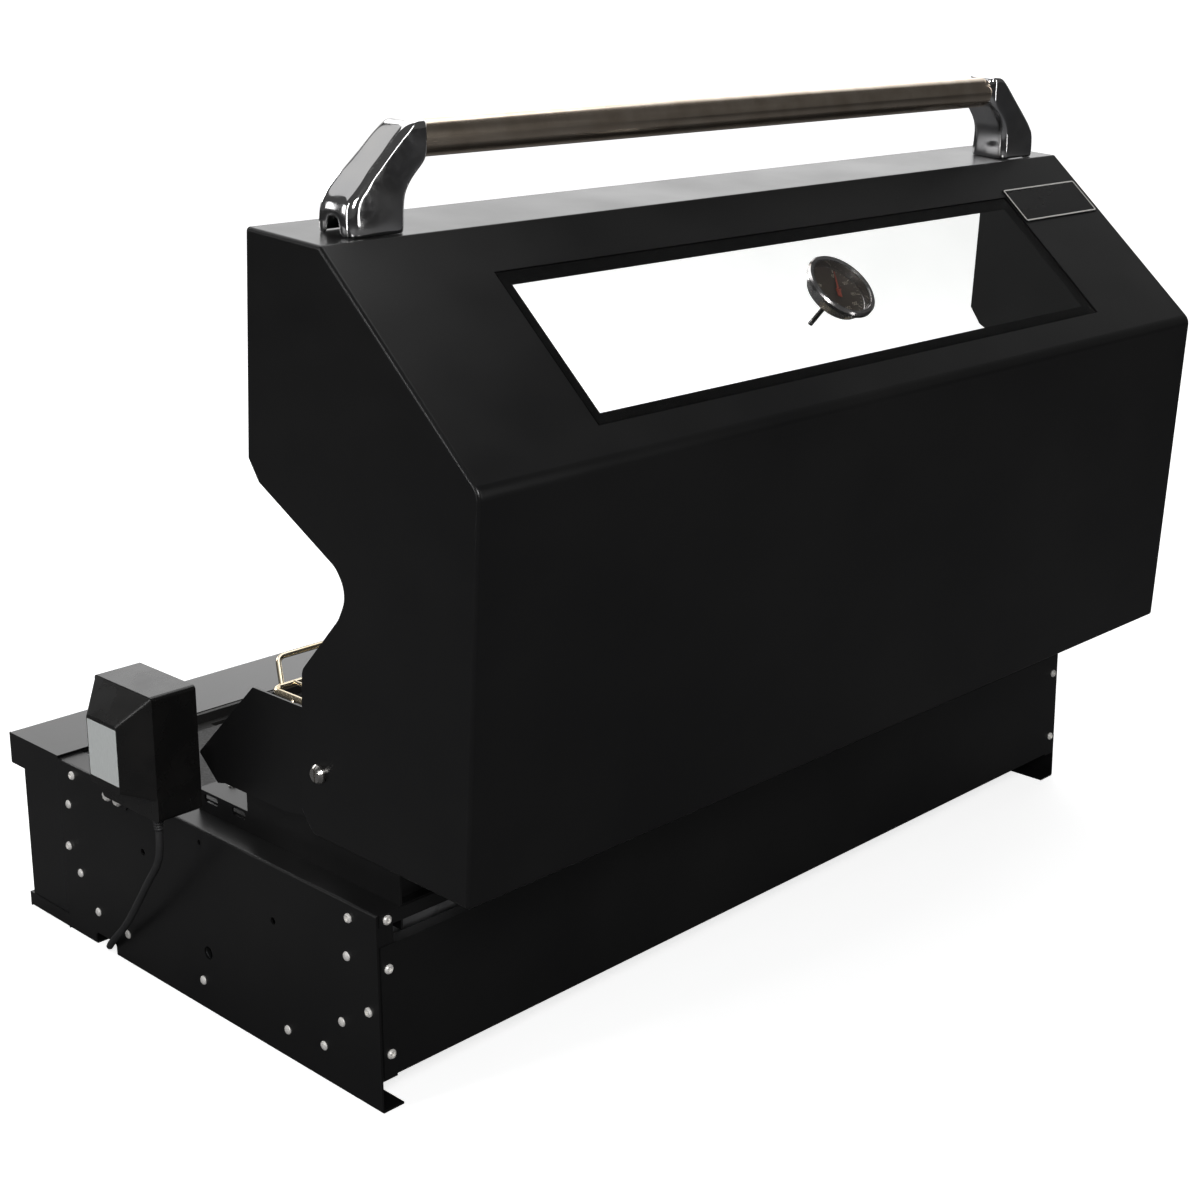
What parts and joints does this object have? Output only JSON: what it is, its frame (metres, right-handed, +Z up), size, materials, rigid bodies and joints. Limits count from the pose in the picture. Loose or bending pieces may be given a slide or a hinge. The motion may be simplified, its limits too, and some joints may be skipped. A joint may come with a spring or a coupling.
{
  "type": "built-in gas grill",
  "caption": "Drop-in gas grill with a hinged window hood swung open, thermometer, tube handle, knobs in front, drip tray, warming rack and rotisserie motor at the side.",
  "frame": {"origin": "on the surface it stands on, under the middle of the whole grill without its cord", "axes": "+X to the right as seen from the front (motor side), +Y to the back, +Z up"},
  "size_m": [1.149, 0.75, 0.8403],
  "materials": {
    "hood_enamel": "gloss black enamel",
    "body_enamel": "satin black enamel",
    "window_frame": "black enamel",
    "window_glass": "clear toughened glass",
    "thermometer_lens": "clear glass",
    "needle_paint": "red paint",
    "chrome": "polished chrome",
    "polished_tube": "polished stainless tube",
    "cast_iron": "matt black enamelled",
    "steel_burner": "rolled",
    "rack_chrome": "bright plated wire",
    "tray_steel": "galvanised",
    "stainless": "bright",
    "manifold_steel": "satin",
    "brass": "turned",
    "knob_plastic": "fine texture",
    "motor_plastic": "fine texture",
    "cord_rubber": "smooth"
  },
  "bodies": {
    "grill body": {"back_panel": "body_enamel", "back_rail": "body_enamel", "back_shield": "body_enamel", "bracket_bolts": "stainless", "burner_1": "steel_burner", "burner_2": "steel_burner", "burner_3": "steel_burner", "burner_4": "steel_burner", "burner_5": "steel_burner", "burner_6": "steel_burner", "cable_gland": "motor_plastic", "control_panel": "body_enamel", "cord_coil": "cord_rubber", "cord_plug": "cord_rubber", "firebox": "body_enamel", "flame_tamers": "steel_burner", "front_rail": "body_enamel", "gas_inlet": "brass", "gas_manifold": "manifold_steel", "gas_valves": "brass", "grill_plate_left": "cast_iron", "grill_plate_middle": "cast_iron", "hinge_bolts": "stainless", "hinge_wall_left": "body_enamel", "hinge_wall_right": "body_enamel", "hotplate_right": "cast_iron", "motor_bracket": "body_enamel", "motor_cord": "cord_rubber", "motor_housing": "motor_plastic", "panel_end_caps": "body_enamel", "rivets": "stainless", "screws": "stainless", "side_plate_left": "body_enamel", "side_plate_right": "body_enamel", "tray_runners": "body_enamel", "warming_rack": "rack_chrome"},
    "hood": {"hood_shell": "hood_enamel", "window_frame": "window_frame", "window_glass": "window_glass", "thermometer_case": "chrome", "thermometer_lens": "thermometer_lens", "handle_tube": "polished_tube", "handle_bracket_left": "chrome", "handle_bracket_right": "chrome"},
    "needle": {"thermometer_needle": "needle_paint"},
    "drip tray": {"drip_tray": "tray_steel"},
    "spit drive": {"spit_socket": "stainless"},
    "motor rocker": {"motor_switch": "motor_plastic"},
    "tap stem 1": {"valve_stem_1": "stainless"},
    "knob 1": {"knob_1": "knob_plastic"},
    "tap stem 2": {"valve_stem_2": "stainless"},
    "knob 2": {"knob_2": "knob_plastic"},
    "tap stem 3": {"valve_stem_3": "stainless"},
    "knob 3": {"knob_3": "knob_plastic"},
    "tap stem 4": {"valve_stem_4": "stainless"},
    "knob 4": {"knob_4": "knob_plastic"},
    "tap stem 5": {"valve_stem_5": "stainless"},
    "knob 5": {"knob_5": "knob_plastic"},
    "tap stem 6": {"valve_stem_6": "stainless"},
    "knob 6": {"knob_6": "knob_plastic"}
  },
  "joints": [
    {"name": "hood hinge", "type": "hinge", "parent": "grill body", "child": "hood", "pos_m": [-0.0205, 0.16412, 0.296], "axis": [1, 0, 0], "range_deg": [0, 94]},
    {"name": "tray slide", "type": "slide", "parent": "grill body", "child": "drip tray", "axis": [0, -1, 0], "range_m": [0, 0.4]},
    {"name": "spit turn", "type": "hinge", "parent": "grill body", "child": "spit drive", "pos_m": [0.5165, -0.03138, 0.275], "axis": [1, 0, 0], "continuous": true},
    {"name": "rocker tip", "type": "hinge", "parent": "grill body", "child": "motor rocker", "pos_m": [0.5275, -0.10312, 0.252], "axis": [1, 0, 0], "range_deg": [0, 16]},
    {"name": "needle turn", "type": "hinge", "parent": "hood", "child": "needle", "pos_m": [-0.0205, 0.3005, 0.66809], "axis": [0, -0.6739, -0.7388], "range_deg": [0, 270]},
    {"name": "knob 1 push", "type": "slide", "parent": "grill body", "child": "tap stem 1", "axis": [0, 1, 0], "range_m": [0, 0.003], "stiffness_N_per_m": 900, "springref_m": -0.002},
    {"name": "knob 1 turn", "type": "hinge", "parent": "tap stem 1", "child": "knob 1", "pos_m": [-0.4205, -0.35937, 0.118], "axis": [0, -1, 0], "range_deg": [0, 180]},
    {"name": "knob 2 push", "type": "slide", "parent": "grill body", "child": "tap stem 2", "axis": [0, 1, 0], "range_m": [0, 0.003], "stiffness_N_per_m": 900, "springref_m": -0.002},
    {"name": "knob 2 turn", "type": "hinge", "parent": "tap stem 2", "child": "knob 2", "pos_m": [-0.2605, -0.35937, 0.118], "axis": [0, -1, 0], "range_deg": [0, 180]},
    {"name": "knob 3 push", "type": "slide", "parent": "grill body", "child": "tap stem 3", "axis": [0, 1, 0], "range_m": [0, 0.003], "stiffness_N_per_m": 900, "springref_m": -0.002},
    {"name": "knob 3 turn", "type": "hinge", "parent": "tap stem 3", "child": "knob 3", "pos_m": [-0.1005, -0.35937, 0.118], "axis": [0, -1, 0], "range_deg": [0, 180]},
    {"name": "knob 4 push", "type": "slide", "parent": "grill body", "child": "tap stem 4", "axis": [0, 1, 0], "range_m": [0, 0.003], "stiffness_N_per_m": 900, "springref_m": -0.002},
    {"name": "knob 4 turn", "type": "hinge", "parent": "tap stem 4", "child": "knob 4", "pos_m": [0.0595, -0.35937, 0.118], "axis": [0, -1, 0], "range_deg": [0, 180]},
    {"name": "knob 5 push", "type": "slide", "parent": "grill body", "child": "tap stem 5", "axis": [0, 1, 0], "range_m": [0, 0.003], "stiffness_N_per_m": 900, "springref_m": -0.002},
    {"name": "knob 5 turn", "type": "hinge", "parent": "tap stem 5", "child": "knob 5", "pos_m": [0.2195, -0.35937, 0.118], "axis": [0, -1, 0], "range_deg": [0, 180]},
    {"name": "knob 6 push", "type": "slide", "parent": "grill body", "child": "tap stem 6", "axis": [0, 1, 0], "range_m": [0, 0.003], "stiffness_N_per_m": 900, "springref_m": -0.002},
    {"name": "knob 6 turn", "type": "hinge", "parent": "tap stem 6", "child": "knob 6", "pos_m": [0.3795, -0.35937, 0.118], "axis": [0, -1, 0], "range_deg": [0, 180]}
  ]
}
